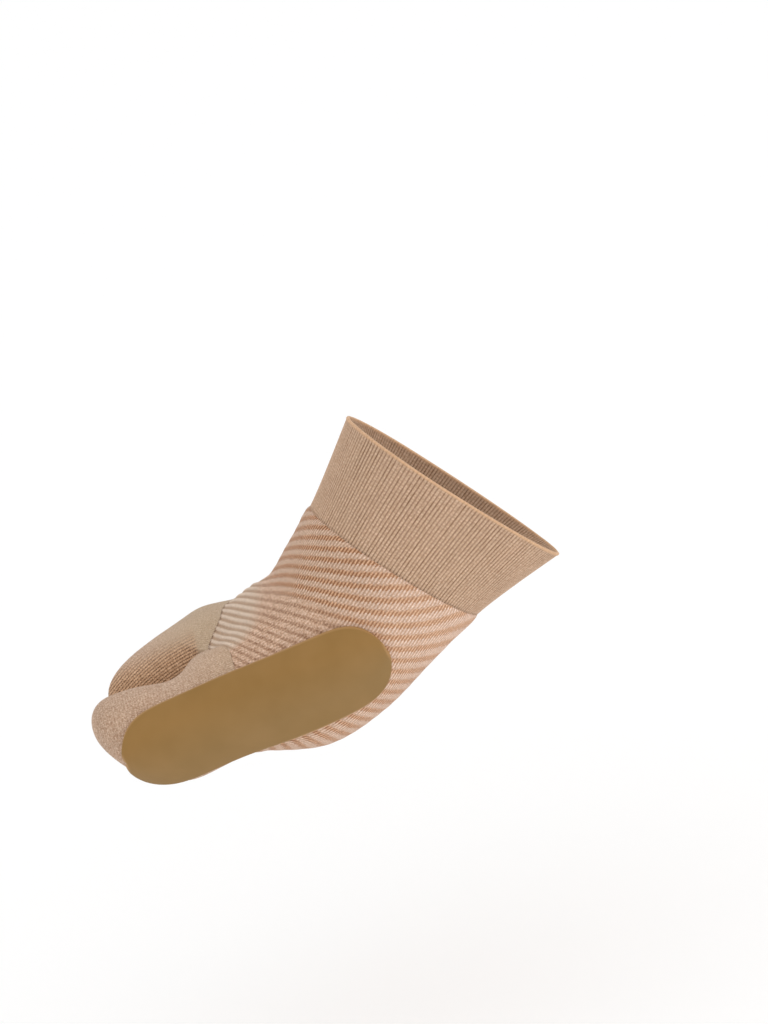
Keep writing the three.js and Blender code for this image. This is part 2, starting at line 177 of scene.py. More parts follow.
# Points round the big-toe half, the outer half, the web's wall, and a section before it's evenly spaced
MEDIAL_SIDES = 160
LATERAL_SIDES = 224
WEB_SIDES = 80
DENSE = 1440


def along_rows(values, t):
    """Value at row position t of a list of values, smooth from one to the next."""
    last = len(values) - 1
    row = min(max(int(t), 0), last - 1)
    f = t - row
    before, start, end, after = (values[min(max(row + k, 0), last)] for k in (-1, 0, 1, 2))
    bend = 2 * before - 5 * start + 4 * end - after
    twist = 3 * start - before - 3 * end + after
    return start + 0.5 * f * (end - before + f * (bend + f * twist))


def fuller(values, fullness):
    """Cosines or sines of a rounder (2) or squarer (over 2) oval."""
    return np.sign(values) * np.abs(values) ** (2 / fullness)


def smoothstep(x, low, high):
    """A share that eases from 0 at low to 1 at high."""
    x = np.clip((x - low) / (high - low), 0, 1)
    return x * x * (3 - 2 * x)


def even_arc(line, count):
    """Points at even spacing along an open line, from its first point to short of its last."""
    lengths = np.concatenate(([0], np.cumsum(np.linalg.norm(np.diff(line, axis=0), axis=1))))
    places = lengths[-1] * np.arange(count) / count
    return np.stack([np.interp(places, lengths, line[:, k]) for k in range(3)], axis=1)


def sleeve_line(t):
    """Dense section of the sleeve at row position t, from its top over the big-toe side and back."""
    at = {name: along_rows(values, t) for name, values in SLEEVE_SECTIONS.items()}
    top = np.array((at["top"] * SLEEVE_RUN, at["ridge"] * BALL_WIDTH, at["rise"] * RIM_HEIGHT))
    bottom = np.array((at["bottom"] * SLEEVE_RUN, at["keel"] * BALL_WIDTH, at["drop"] * RIM_HEIGHT))
    height = top - bottom
    heelward = np.array((height[2], 0, -height[0])) / math.hypot(height[0], height[2])
    angle = np.linspace(0, 2 * math.pi, DENSE, endpoint=False)
    up, out = np.cos(angle), np.sin(angle)
    fullness = np.where(up > 0, at["crown"], at["sole"])
    share = at["belly"] + fuller(up, fullness) * np.where(up > 0, 1 - at["belly"], at["belly"])
    offset = fuller(out, fullness) * np.where(out > 0, at["medial"], at["lateral"]) * BALL_WIDTH
    points = bottom + share[:, None] * height
    points[:, 1] -= offset
    points += offset[:, None] * math.tan(math.radians(at["turn"])) * heelward
    side = points[:, 1].copy()
    dent = np.where(up > 0, -VALLEY_DEPTH, SOLE_VALLEY_DEPTH) * np.abs(up)
    points[:, 2] += at["web"] * dent * np.exp(-(((side - WEB_SIDE) / VALLEY_SPREAD) ** 2))
    points[:, 0] -= at["web"] * WEB_REACH * np.exp(-(((side - WEB_SIDE) / WEB_SPREAD) ** 2))
    points[:, 0] += at["web"] * LATERAL_SETBACK * smoothstep(side, SETBACK_START, BALL_WIDTH / 2)
    return points


def arcs_of(line):
    """The big-toe side's arc and the other side's, cut where the section crosses the web's line."""
    inside = line[:, 1] <= WEB_SIDE
    first = int(np.argmax(~inside[:-1] & inside[1:]))
    last = int(np.argmax(inside[:-1] & ~inside[1:]))

    def crossing(i):
        f = (WEB_SIDE - line[i, 1]) / (line[i + 1, 1] - line[i, 1])
        return line[i] + f * (line[i + 1] - line[i])

    top, bottom = crossing(first), crossing(last)
    medial = np.vstack((top, line[first + 1 : last + 1], bottom))
    lateral = np.vstack((bottom, line[last + 1 :], line[: first + 1], top))
    return medial, lateral


def sleeve_ring(t, medial_sides=MEDIAL_SIDES, lateral_sides=LATERAL_SIDES):
    """Evenly spaced section of the sleeve, from the web's top over the big-toe side and back."""
    medial, lateral = arcs_of(sleeve_line(t))
    return np.vstack((even_arc(medial, medial_sides), even_arc(lateral, lateral_sides)))


def measured_rows():
    """Row positions along the sleeve, and the distance along its middle that each lies at."""
    rows = np.linspace(0, len(SLEEVE_SECTIONS["top"]) - 1, 361)
    mean = [
        [
            (along_rows(SLEEVE_SECTIONS[a], t) + along_rows(SLEEVE_SECTIONS[b], t)) / 2 * size
            for a, b, size in (("top", "bottom", SLEEVE_RUN), ("rise", "drop", RIM_HEIGHT))
        ]
        for t in rows
    ]
    steps = np.linalg.norm(np.diff(mean, axis=0), axis=1)
    return rows, np.concatenate(([0], np.cumsum(steps)))


ROW_PLACES, ROW_DISTANCES = measured_rows()
SLEEVE_LENGTH = ROW_DISTANCES[-1]
CUFF_SEAM = SLEEVE_LENGTH - CUFF_BAND


def row_at(distance):
    """Row position at a distance from the toe root."""
    return float(np.interp(distance, ROW_DISTANCES, ROW_PLACES))


def outward(rings, sense):
    """Unit normals out of a tube of rings that run to +X (sense 1) or to -X (sense -1)."""
    rounds = np.roll(rings, -1, axis=1) - np.roll(rings, 1, axis=1)
    normals = np.cross(rounds, np.gradient(rings, axis=0)) * sense
    return normals / np.linalg.norm(normals, axis=2, keepdims=True)


def root_ring(is_medial):
    """One side of the toe root's section, closed by the web's straight wall."""
    arc = arcs_of(sleeve_line(0))[0 if is_medial else 1]
    ring = even_arc(arc, MEDIAL_SIDES if is_medial else LATERAL_SIDES)
    edge = WEB_SIDE + (-1 if is_medial else 1) * SEAM_GAP / 2
    start, end = ring[0].copy(), arc[-1].copy()
    start[1] = end[1] = edge
    ring[0] = start
    return np.vstack((ring, even_arc(np.array((end, start)), WEB_SIDES)))


def toe_ring(toe, root, along):
    """Section of a toe pocket at a share of its length: the root's shape turning into a full oval."""
    place = along * (len(toe["levels"]) - 1)
    centre = np.array((-along * toe["length"], toe["side"], along_rows(toe["levels"], place) * toe["height"]))
    past = min(max((along - toe["shoulder"]) / (1 - toe["shoulder"]), 0), 1)
    rounding = (1 - past ** toe["bluntness"]) ** (1 / toe["bluntness"])
    slant, fall = (math.tan(math.radians(toe[name])) * along for name in ("slant", "fall"))
    angle = math.radians(toe["start"]) + np.linspace(0, 2 * math.pi, DENSE + 1)
    half_width = along_rows(toe["widths"], place) * toe["width"] * rounding / 2
    half_height = along_rows(toe["heights"], place) * toe["height"] * rounding / 2
    out = fuller(np.cos(angle), toe["fullness"]) * half_width
    up = fuller(np.sin(angle), toe["fullness"]) * half_height
    oval = even_arc(centre + np.stack((out * slant, out, up - out * fall), axis=1), len(root))
    mix = smoothstep(along, 0, toe["blend"])
    moved = root + np.array((centre[0], 0, 0))
    return moved + mix * (oval - moved)


def toe_rings(toe, root, body_rows, tip_rows):
    """Sections from root to tip, ever closer at the tip, and the tip's own point."""
    start = SEAM_GAP / toe["length"]
    places = list(np.linspace(start, toe["shoulder"], body_rows, endpoint=False))
    rise = np.linspace(0, math.pi / 2, tip_rows, endpoint=False)
    places += list(toe["shoulder"] + (1 - toe["shoulder"]) * np.sin(rise) ** (2 / toe["bluntness"]))
    rings = np.array([toe_ring(toe, root, place) for place in places])
    tip = np.array((-toe["length"], toe["side"], toe["levels"][-1] * toe["height"]))
    return rings, tip


def seam_ridge(distance):
    """Height of the linking stitches' ridge at a distance from the seam."""
    return SEAM_RIDGE * np.exp(-((distance / SEAM_RIDGE_WIDTH) ** 2))


def mesh_piece(name, points, faces, uvs=None):
    """A piece of the row frame from points set out from the toe root."""
    mesh = bpy.data.meshes.new(name)
    mesh.from_pydata((points + TOE_ROOT).tolist(), [], faces)
    if uvs is not None:
        layer = mesh.uv_layers.new(name="stitches")
        layer.data.foreach_set("uv", np.asarray(uvs, dtype=np.float32).ravel())
    mesh.shade_smooth()
    made = bpy.data.objects.new(name, mesh)
    bpy.context.scene.collection.objects.link(made)
    return made


def shell(name, rings, stitches, tips=None):
    """A closed wall from rings: outer ones from one end to the other, then fewer inner ones back.

    stitches gives each ring's course number and the number of wales round the piece. With tips, the
    first and the last ring each end in a point; without, the last ring joins the first.
    """
    courses, wales = stitches
    count, sides = rings.shape[:2]
    points = rings.reshape(-1, 3)
    faces, uvs = [], []
    bands = count - 1 if tips is not None else count
    for i in range(bands):
        a, b = i * sides, (i + 1) % count * sides
        low, high = courses[i], courses[(i + 1) % count]
        for j in range(sides):
            k = (j + 1) % sides
            faces.append((a + j, a + k, b + k, b + j))
            u, v = j * wales / sides, (j + 1) * wales / sides
            uvs += [(u, low), (v, low), (v, high), (u, high)]
    if tips is not None:
        first, last = len(points), len(points) + 1
        points = np.vstack((points, tips))
        a = (count - 1) * sides
        for j in range(sides):
            k = (j + 1) % sides
            u, v = j * wales / sides, (j + 1) * wales / sides
            faces += [(first, k, j), (last, a + j, a + k)]
            uvs += [(u, courses[0]), (v, courses[0]), (u, courses[0])]
            uvs += [(u, courses[-1]), (u, courses[-1]), (v, courses[-1])]
    return mesh_piece(name, points, faces, uvs)


def ribbed_cuff():
    per_rib = 6
    sides = RIBS * per_rib
    medial = sides * MEDIAL_SIDES // (MEDIAL_SIDES + LATERAL_SIDES)
    roll = SLEEVE_LENGTH - RIM_ROLL_BAND
    band = np.linspace(CUFF_SEAM, roll, 24)
    distances = np.concatenate((band, np.linspace(roll, SLEEVE_LENGTH, 7)[1:]))
    rings = np.array([sleeve_ring(row_at(d), medial, sides - medial) for d in distances])
    normals = outward(rings, 1)
    crest = np.abs(np.cos(math.pi * np.arange(sides) / per_rib))
    groove = (1 - crest) ** 2
    into_rim = smoothstep(distances, roll - 0.0004, roll + 0.0004)
    swell = np.sin(math.pi * np.clip((distances - roll) / RIM_ROLL_BAND, 0, 1)) * RIM_ROLL
    push = swell[:, None] - RIB_DEPTH * groove[None, :] * (1 - 0.8 * into_rim[:, None])
    outer = rings + push[:, :, None] * normals
    inner_places = np.linspace(len(distances) - 1, 0, 16).round().astype(int)
    wall = LIP_WALL + (CUFF_WALL - LIP_WALL) * smoothstep(SLEEVE_LENGTH - distances, 0, LIP_REACH)
    inner = (rings - wall[:, None, None] * normals - (push * 0.7)[:, :, None] * normals)[inner_places]
    courses = (distances - CUFF_SEAM) / COURSE
    return shell(
        "ribbed_knit_cuff",
        np.concatenate((outer, inner)),
        (np.concatenate((courses, courses[inner_places])), RIBS),
    )


def stripe_number(points):
    """Which stripe a place on the sleeve lies on."""
    x, y, z = np.moveaxis((points - STRIPE_CENTRE) / STRIPE_UNIT, -1, 0)
    return sum(share * x**i * y**j * z**k for (i, j, k), share in STRIPE_POWERS.items())


def sleeve_rings(rows):
    """Sections of the sleeve with their normals and distances from the toe root, swollen before the cuff."""
    distances = CUFF_SEAM * (1 - (1 - np.linspace(0, 1, rows)) ** 1.1)
    rings = np.array([sleeve_ring(row_at(d)) for d in distances])
    normals = outward(rings, 1)
    share = (CUFF_SEAM - distances) / SEAM_SWELL_REACH
    swell = SEAM_SWELL * share * np.exp(1 - share)
    return rings + swell[:, None, None] * normals, normals, distances


def striped_sleeve():
    rings, normals, distances = sleeve_rings(150)
    stripes = stripe_number(rings)
    medial = np.arange(MEDIAL_SIDES) / MEDIAL_SIDES
    lateral = np.arange(LATERAL_SIDES) / LATERAL_SIDES - 1
    around = np.concatenate((medial, lateral))
    along = (distances / CUFF_SEAM)[:, None]
    smooth = smoothstep(np.interp(around, SMOOTH_ROUND, SMOOTH_END) - along, *SMOOTH_FADE)
    narrow = smoothstep(np.interp(around, NARROW_ROUND, NARROW_END) - along, *NARROW_FADE)
    height = RELIEF_BROAD + narrow * (RELIEF_NARROW - RELIEF_BROAD)
    height += smooth * (RELIEF_SMOOTH - height)
    push = seam_ridge(distances)[:, None] - height * np.cos(2 * math.pi * stripes)
    outer = rings + push[:, :, None] * normals
    inner_places = np.linspace(len(distances) - 1, 0, 24).round().astype(int)
    inner = (rings - SLEEVE_WALL * normals)[inner_places]
    courses = distances / COURSE
    made = shell(
        "striped_knit_sleeve",
        np.concatenate((outer, inner)),
        (np.concatenate((courses, courses[inner_places])), WALES),
    )
    # The yarn is paler towards the heel and lower down, partly its own colour and partly painted light from
    # the softbox's side; under the foot painted shade halves that, and the linking shows round the four toes
    x, z = rings[:, :, 0], rings[:, :, 2]
    pale_and_lit = smoothstep(x - z, -0.03, 0.045) * (0.5 + 0.5 * smoothstep(z, 0.005, 0.035))
    seam = smoothstep(LINKING - distances, 0, 0.0008)[:, None] * smoothstep(0.04 - around, 0, 0.04)
    looks = {"stripe": stripes, "smooth": smooth, "narrow": narrow, "pale_and_lit": pale_and_lit, "seam": seam}
    for name, values in looks.items():
        layer = made.data.attributes.new(name, "FLOAT", "POINT")
        layer.data.foreach_set("value", np.concatenate((values, values[inner_places])).ravel())
    return made


def toe_pocket(name, toe, is_medial):
    """A toe pocket, and its sections for the strip to lie on."""
    root = root_ring(is_medial)
    rings, tip = toe_rings(toe, root, 60, 30)
    normals = outward(rings, -1)
    distances = np.linalg.norm(np.diff(rings, axis=0), axis=2).mean(axis=1)
    distances = np.concatenate(([0], np.cumsum(distances)))
    outer = rings + (seam_ridge(distances)[:, None, None]) * normals
    inner_places = np.arange(0, len(rings), 4)
    inner = (rings - TOE_WALL * normals)[inner_places]
    courses = distances / COURSE
    wales = round(TOE_WALES * len(root) / (MEDIAL_SIDES + LATERAL_SIDES))
    made = shell(
        name,
        np.concatenate((outer[::-1], inner)),
        (np.concatenate((courses[::-1], courses[inner_places])), wales),
        np.array((tip, tip + (TOE_WALL, 0, 0))),
    )
    places = np.concatenate((rings[::-1], rings[inner_places]))
    x, y, z = np.moveaxis(places, -1, 0)
    # Painted shade with the stretched knit: a mask over the four-toe pocket's wall in the crevice towards the
    # big toe
    highest = SHADED_STRETCH_TOP + SHADED_STRETCH_FALL * (x - SHADED_STRETCH_START)
    stretched_and_shaded = smoothstep(highest - z, 0, 0.008) * smoothstep(SHADED_STRETCH_START - x, 0, 0.0025)
    stretched_and_shaded *= smoothstep(SHADED_STRETCH_SIDE - y, 0, SHADED_STRETCH_SIDE)
    # The columns fade at the tip, where they meet, and the knit is more flecked towards the tips
    looks = {
        "stretched_and_shaded": stretched_and_shaded * (0 if is_medial else 1),
        "ladder": (places @ LADDER_ACROSS + LADDER_BEND * (x + 0.02) ** 2) / LADDER,
        "rung": places @ LADDER_ALONG / RUNG,
        "tip": 1 - smoothstep(np.linalg.norm(places - tip, axis=-1), 0.003, 0.01),
        "wear_and_groove_shade": smoothstep(-x, *((-0.03, 0.03) if is_medial else (0.008, 0.04))),
    }
    for look, values in looks.items():
        layer = made.data.attributes.new(look, "FLOAT", "POINT")
        at_tip = 1 if look == "tip" else 0
        layer.data.foreach_set("value", np.append(values.ravel(), (at_tip, at_tip)))
    return made, rings


def skin_tree(rings_list):
    """The smooth outside of the knit, for the strip to lie on."""
    points, faces = [], []
    for rings in rings_list:
        count, sides = rings.shape[:2]
        base = len(points)
        points += rings.reshape(-1, 3).tolist()
        for i in range(count - 1):
            for j in range(sides):
                k = (j + 1) % sides
                a, b = base + i * sides, base + (i + 1) * sides
                faces.append((a + j, a + k, b + k, b + j))
    return BVHTree.FromPolygons(points, faces)


def pad_bow(tree, distance):
    """Line over the skin across the strip, and the lengths along it from its middle."""
    rise = math.radians(PAD_RISE)
    core = PAD_FRONT + distance * np.array((math.cos(rise), 0, math.sin(rise)))
    angles = np.radians(np.linspace(-85, 85, 121))  # nearly half a turn
    hits = []
    for angle in angles:
        upward = math.sin(angle)
        direction = Vector((-math.sin(rise) * upward, -math.cos(angle), math.cos(rise) * upward))
        hit = tree.ray_cast(Vector(core), direction)[0]
        if hit is not None:
            hits.append((angle, *hit))
    hits = np.array(hits)
    points = hits[:, 1:]
    lengths = np.concatenate(([0], np.cumsum(np.linalg.norm(np.diff(points, axis=0), axis=1))))
    return points, lengths - np.interp(0, hits[:, 0], lengths)


def soft_strip(tree):
    """The strip, wrapped over the skin as rows of points across it, closer together at its rim and ends."""
    steps, columns = 150, 49
    radius = PAD_WIDTH / 2
    wrap = 0.97 * math.pi / 2  # keeps the outermost columns apart
    spread = np.sin(np.linspace(-wrap, wrap, columns)) / math.sin(wrap)
    share = (1 - np.cos(math.pi * (np.arange(steps) + 0.35) / (steps - 0.3))) / 2
    skin, edge = [], []
    for distance in PAD_LENGTH * share:
        past = max(radius - distance, distance - (PAD_LENGTH - radius), 0) / radius
        half = radius * (1 - min(past, 1) ** PAD_END_FULLNESS) ** (1 / PAD_END_FULLNESS)
        points, lengths = pad_bow(tree, distance)
        places = half * spread
        skin.append([[np.interp(p, lengths, points[:, k]) for k in range(3)] for p in places])
        from_end = min(distance, PAD_LENGTH - distance)
        edge.append(np.minimum(half - np.abs(places), from_end + 0 * places))
    skin, edge = np.array(skin), np.array(edge)
    for _ in range(PAD_EASING):
        skin[1:-1] += 0.5 * ((skin[:-2] + skin[2:]) / 2 - skin[1:-1])
        skin[:, 1:-1] += 0.25 * ((skin[:, :-2] + skin[:, 2:]) / 2 - skin[:, 1:-1])
    normals = np.cross(np.gradient(skin, axis=0), np.gradient(skin, axis=1))
    normals /= np.linalg.norm(normals, axis=2, keepdims=True)
    normals[:4], normals[-4:] = normals[4], normals[-5]  # the end rows are too short to give their own
    inward = np.clip(edge / PAD_EDGE, 0, 1)
    lift = PAD_TOP - PAD_EDGE + PAD_EDGE * np.sqrt(1 - (1 - inward) ** 2)
    front = skin + lift[:, :, None] * normals
    back = skin + PAD_BACK * normals
    size = steps * columns
    faces = []
    for i in range(steps - 1):
        for j in range(columns - 1):
            a = i * columns + j
            faces.append((a, a + columns, a + columns + 1, a + 1))
            b = size + a
            faces.append((b, b + 1, b + columns + 1, b + columns))
    border = [*range(columns - 1), *(i * columns + columns - 1 for i in range(steps - 1))]
    border += [*((steps - 1) * columns + j for j in range(columns - 1, 0, -1))]
    border += [*(i * columns for i in range(steps - 1, 0, -1))]
    for a, b in zip(border, border[1:] + border[:1]):
        faces.append((a, b, size + b, size + a))
    made = mesh_piece("soft_gel_strip", np.vstack((front.reshape(-1, 3), back.reshape(-1, 3))), faces)
    across = np.repeat((spread[None, :] + 1) / 2, steps, axis=0)
    for name, front_values, back_values in (("rim", 1 - inward, 0 * inward + 1), ("across", across, across)):
        layer = made.data.attributes.new(name, "FLOAT", "POINT")
        layer.data.foreach_set("value", np.concatenate((front_values, back_values)).ravel())
    return made


def linear(code):
    """An sRGB hex colour as linear RGBA."""
    parts = [int(code[i : i + 2], 16) / 255 for i in (1, 3, 5)]
    return (*(c / 12.92 if c <= 0.04045 else ((c + 0.055) / 1.055) ** 2.4 for c in parts), 1)


def add(tree, kind, inputs=(), output=0, **settings):
    """Adds a shader node with its settings and links, and returns one of its outputs.

    inputs pairs a socket with a value or with another node's output.
    """
    made = tree.nodes.new("ShaderNode" + kind)
    for name, value in settings.items():
        setattr(made, name, value)
    for socket, value in dict(inputs).items():
        if isinstance(value, bpy.types.NodeSocket):
            tree.links.new(value, made.inputs[socket])
        else:
            made.inputs[socket].default_value = value
    return made.outputs[output]


def material(name):
    made = bpy.data.materials.new(name)
    made.use_nodes = True
    return made, made.node_tree, made.node_tree.nodes["Principled BSDF"]


def wave(tree, turns, low=0, high=1, crest=0, ends=(-1, 1)):
    """A wave from low to high for every whole turn, highest at the crest's place in the turn.

    ends are the cosines where it reaches low and high: closer ends give broader tops and hollows.
    """
    angle = add(tree, "Math", {0: turns, 1: 2 * math.pi, 2: -2 * math.pi * crest}, operation="MULTIPLY_ADD")
    swing = add(tree, "Math", {0: angle}, operation="COSINE")
    inputs = {"Value": swing, "From Min": ends[0], "From Max": ends[1], "To Min": low, "To Max": high}
    return add(tree, "MapRange", inputs, interpolation_type="SMOOTHSTEP")


def heather(tree, size, low, high):
    """Uneven yarn: a share between low and high that changes over patches of a size in metres."""
    place = add(tree, "TexCoord", output="Object")
    patches = add(tree, "TexNoise", {"Vector": place, "Scale": 1 / size, "Detail": 2, "Roughness": 0.6})
    inputs = {"Value": patches, "From Min": 0.3, "From Max": 0.7, "To Min": low, "To Max": high}
    return add(tree, "MapRange", inputs)


def streaks(tree, wale, course, low, high):
    """Uneven wales: a share between low and high that changes from one to the next and slowly along them."""
    slow = add(tree, "Math", {0: course, 1: 0.06}, operation="MULTIPLY")
    place = add(tree, "CombineXYZ", {0: wale, 1: slow})
    noise = add(tree, "TexNoise", {"Vector": place, "Scale": 0.9, "Detail": 1})
    inputs = {"Value": noise, "From Min": 0.3, "From Max": 0.7, "To Min": low, "To Max": high}
    return add(tree, "MapRange", inputs)


def finish_knit(tree, surface, colour, height, depth, unevenness=0.1):
    """Yarn's uneven tone over a knit's colour, its relief, and the dull surface of cotton."""
    fine_tone = heather(tree, 0.0007, 1 - unevenness, 1 + unevenness)
    broad_tone = heather(tree, 0.012, 0.97, 1.03)
    tone = add(tree, "Math", {0: fine_tone, 1: broad_tone}, operation="MULTIPLY")
    toned = add(tree, "VectorMath", {0: colour, 3: tone}, operation="SCALE")
    tree.links.new(toned, surface.inputs["Base Color"])
    relief = add(tree, "Bump", {"Height": height, "Distance": depth, "Strength": 1})
    tree.links.new(relief, surface.inputs["Normal"])
    surface.inputs["Roughness"].default_value = 0.95
    surface.inputs["IOR"].default_value = 1.5
    surface.inputs["Specular IOR Level"].default_value = 0.2
    surface.inputs["Sheen Weight"].default_value = 0.1
    surface.inputs["Sheen Roughness"].default_value = 0.5


def stitches_of(tree):
    """Numbers of the wale and of the course at a place."""
    wale = add(tree, "SeparateXYZ", {0: add(tree, "UVMap", uv_map="stitches")})
    return wale, wale.node.outputs[1]


# Single fibres are too fine to show, so the yarn's flecks are drawn at half a millimetre and more
FLECK = 0.0008
FINE_FLECK = 0.0006
JERSEY_FLECK = 0.00065


# Cotton rib, knitted tan: wide light crests with fine rows, thin grooves darkened brown as painted shade, and
# a warmer rim
def ribbed_knit():
    made, tree, surface = material("tan_ribbed_cotton_knit")
    wale, course = stitches_of(tree)
    row = wave(tree, course, 0.6, 1)
    lit = add(tree, "Math", {0: row, 1: heather(tree, FLECK, 0, 1)}, operation="MULTIPLY")
    crest = add(tree, "Mix", {0: lit, 6: linear("#B49277"), 7: linear("#D6B89E")}, 2, data_type="RGBA")
    # Painted shade: the grooves between the ribs are darkened brown, more in some wales than in others
    wear_and_groove_shade = add(
        tree,
        "Math",
        {0: heather(tree, 0.003, 0.6, 1), 1: streaks(tree, wale, course, 0.35, 1)},
        operation="MULTIPLY",
    )
    groove = wave(tree, wale, crest=0.5, ends=(-0.1, 1))
    groove = add(tree, "Math", {0: groove, 1: wear_and_groove_shade}, operation="MULTIPLY")
    colour = add(tree, "Mix", {0: groove, 6: crest, 7: linear("#7F5E42")}, 2, data_type="RGBA")
    rim_start = (CUFF_BAND - RIM_ROLL_BAND) / COURSE
    inputs = {"Value": course, "From Min": rim_start - 0.3, "From Max": rim_start + 0.5, "To Max": 0.7}
    rim = add(tree, "MapRange", inputs)
    colour = add(tree, "Mix", {0: rim, 6: colour, 7: linear("#D9AE86")}, 2, data_type="RGBA")
    finish_knit(tree, surface, colour, row, 0.00006)
    return made


# Cotton jersey with pink-beige and brown stripes: broad ones of short leaning strokes by the cuff, narrow
# flecked ones by the joint, and smooth ridges by the toes, with painted shade in the hollows between them
def striped_knit():
    made, tree, surface = material("pink_beige_striped_cotton_knit")
    wale = stitches_of(tree)[0]
    stripe, smooth, narrow, pale_and_lit, seam = (
        add(tree, "Attribute", output="Fac", attribute_name=name)
        for name in ("stripe", "smooth", "narrow", "pale_and_lit", "seam")
    )
    # A stroke is one wale of one stripe. Each stripe's strokes start at a place of their own.
    band = add(tree, "Math", {0: stripe, 1: -0.35}, operation="SUBTRACT")
    band = add(tree, "Math", {0: band}, operation="FLOOR")
    shifted = add(tree, "Math", {0: band, 1: 0.37, 2: wale}, operation="MULTIPLY_ADD")
    stroke = wave(tree, shifted, ends=(-0.8, 0.8))
    stroke = add(tree, "Math", {0: stroke, 1: heather(tree, FINE_FLECK, 0.3, 1.1)}, operation="MULTIPLY")
    # Strokes reach into the next stripe, and the stripes' edges are ragged
    edge = add(tree, "Math", {0: stroke, 1: 0.14, 2: stripe}, operation="MULTIPLY_ADD")
    edge = add(tree, "Math", {0: edge, 1: heather(tree, 0.001, -0.1, 0.1)}, operation="ADD")

    # Painted light: the paler colours below stand partly for the softbox's light on the heel side, and
    # painted shade halves them under the foot
    thread = add(tree, "Mix", {0: pale_and_lit, 6: linear("#DCAE8B"), 7: linear("#E4BE9F")}, 2, data_type="RGBA")
    shadow = add(tree, "Mix", {0: pale_and_lit, 6: linear("#875B3D"), 7: linear("#B08262")}, 2, data_type="RGBA")
    dark = add(tree, "Mix", {0: stroke, 6: shadow, 7: thread}, 2, data_type="RGBA")
    thread = add(tree, "Mix", {0: pale_and_lit, 6: linear("#E6C9B3"), 7: linear("#F6DFCF")}, 2, data_type="RGBA")
    shadow = add(tree, "Mix", {0: pale_and_lit, 6: linear("#AF8E76"), 7: linear("#C6A188")}, 2, data_type="RGBA")
    lit = add(tree, "Math", {0: stroke, 1: heather(tree, FLECK, 0.5, 1.1)}, operation="MULTIPLY")
    light = add(tree, "Mix", {0: lit, 6: shadow, 7: thread}, 2, data_type="RGBA")
    is_dark = wave(tree, edge, crest=-0.02, ends=(-0.35, 0.6))
    broad = add(tree, "Mix", {0: is_dark, 6: light, 7: dark}, 2, data_type="RGBA")

    fleck = heather(tree, FLECK, 0, 1)
    lit = add(tree, "Math", {0: fleck, 1: wave(tree, wale, 0.6, 1)}, operation="MULTIPLY")
    light = add(tree, "Mix", {0: lit, 6: linear("#AD866A"), 7: linear("#E9CBB4")}, 2, data_type="RGBA")
    lit = add(tree, "Math", {0: fleck, 1: wave(tree, wale, 0.5, 1)}, operation="MULTIPLY")
    dark = add(tree, "Mix", {0: lit, 6: linear("#835E45"), 7: linear("#D0AB8F")}, 2, data_type="RGBA")
    is_dark = wave(tree, stripe, high=0.85, ends=(-0.4, 0.9))
    thin = add(tree, "Mix", {0: is_dark, 6: light, 7: dark}, 2, data_type="RGBA")

    # Painted shade: the hollows between the smooth ridges, on the darker stripes' lines, are darker; partly
    # darker yarn, partly shade
    ridge = {0: wave(tree, stripe), 6: linear("#D3BDA9"), 7: linear("#AE927A")}
    ridged = add(tree, "Mix", ridge, 2, data_type="RGBA")
    striped = add(tree, "Mix", {0: narrow, 6: broad, 7: thin}, 2, data_type="RGBA")
    colour = add(tree, "Mix", {0: smooth, 6: striped, 7: ridged}, 2, data_type="RGBA")
    linking = add(tree, "Math", {0: seam, 1: wave(tree, wale, 0.3, 0.9)}, operation="MULTIPLY")
    colour = add(tree, "Mix", {0: linking, 6: colour, 7: linear("#7E5F47")}, 2, data_type="RGBA")
    finish_knit(tree, surface, colour, stroke, 0.0001, 0.16)
    return made


# Heathered cotton jersey: fine flecked columns, calmer on top, and dark gaps between the threads where the
# wall towards the big toe is stretched open; there painted shade from the crevice between the pockets darkens
# threads and gaps
def plain_knit():
    made, tree, surface = material("heathered_tan_cotton_jersey")
    wale, course = stitches_of(tree)
    stretched_and_shaded, ladder, rung, tip, wear_and_groove_shade = (
        add(tree, "Attribute", output="Fac", attribute_name=name)
        for name in ("stretched_and_shaded", "ladder", "rung", "tip", "wear_and_groove_shade")
    )
    column = add(tree, "MapRange", {"Value": tip, "To Min": wave(tree, wale, 0.5, 1), "To Max": 0.8})
    row = add(tree, "MapRange", {"Value": tip, "To Min": wave(tree, course, 0.7, 1), "To Max": 0.85})
    stitch = add(tree, "Math", {0: column, 1: row}, operation="MULTIPLY")
    fleck = heather(tree, JERSEY_FLECK, -0.2, 1.2)
    lit = add(tree, "Math", {0: stitch, 1: fleck}, operation="MULTIPLY")
    flecked = add(tree, "Mix", {0: lit, 6: linear("#A6836A"), 7: linear("#E4CAB2")}, 2, data_type="RGBA")
    lit = add(tree, "Math", {0: column, 1: heather(tree, FINE_FLECK, 0, 1)}, operation="MULTIPLY")
    calm = add(tree, "Mix", {0: lit, 6: linear("#A98F74"), 7: linear("#CDB69C")}, 2, data_type="RGBA")
    closed = add(tree, "Mix", {0: wear_and_groove_shade, 6: calm, 7: flecked}, 2, data_type="RGBA")

    # Painted shade on the wall in the crevice: darker threads, and near black-brown gaps that are partly the
    # open knit
    thread = add(tree, "Mix", {0: fleck, 6: linear("#A78060"), 7: linear("#D9B290")}, 2, data_type="RGBA")
    gap = wave(tree, ladder, crest=0.5, ends=(-0.25, 0.75))
    gap = add(tree, "Math", {0: gap, 1: wave(tree, rung, 0.45, 1)}, operation="MULTIPLY")
    gap = add(tree, "Math", {0: gap, 1: heather(tree, 0.0012, 0.5, 1.15)}, operation="MULTIPLY")
    opened_and_shaded = add(tree, "Mix", {0: gap, 6: thread, 7: linear("#4C2F18")}, 2, data_type="RGBA")
    colour = add(tree, "Mix", {0: stretched_and_shaded, 6: closed, 7: opened_and_shaded}, 2, data_type="RGBA")
    finish_knit(tree, surface, colour, stitch, 0.0002)
    return made
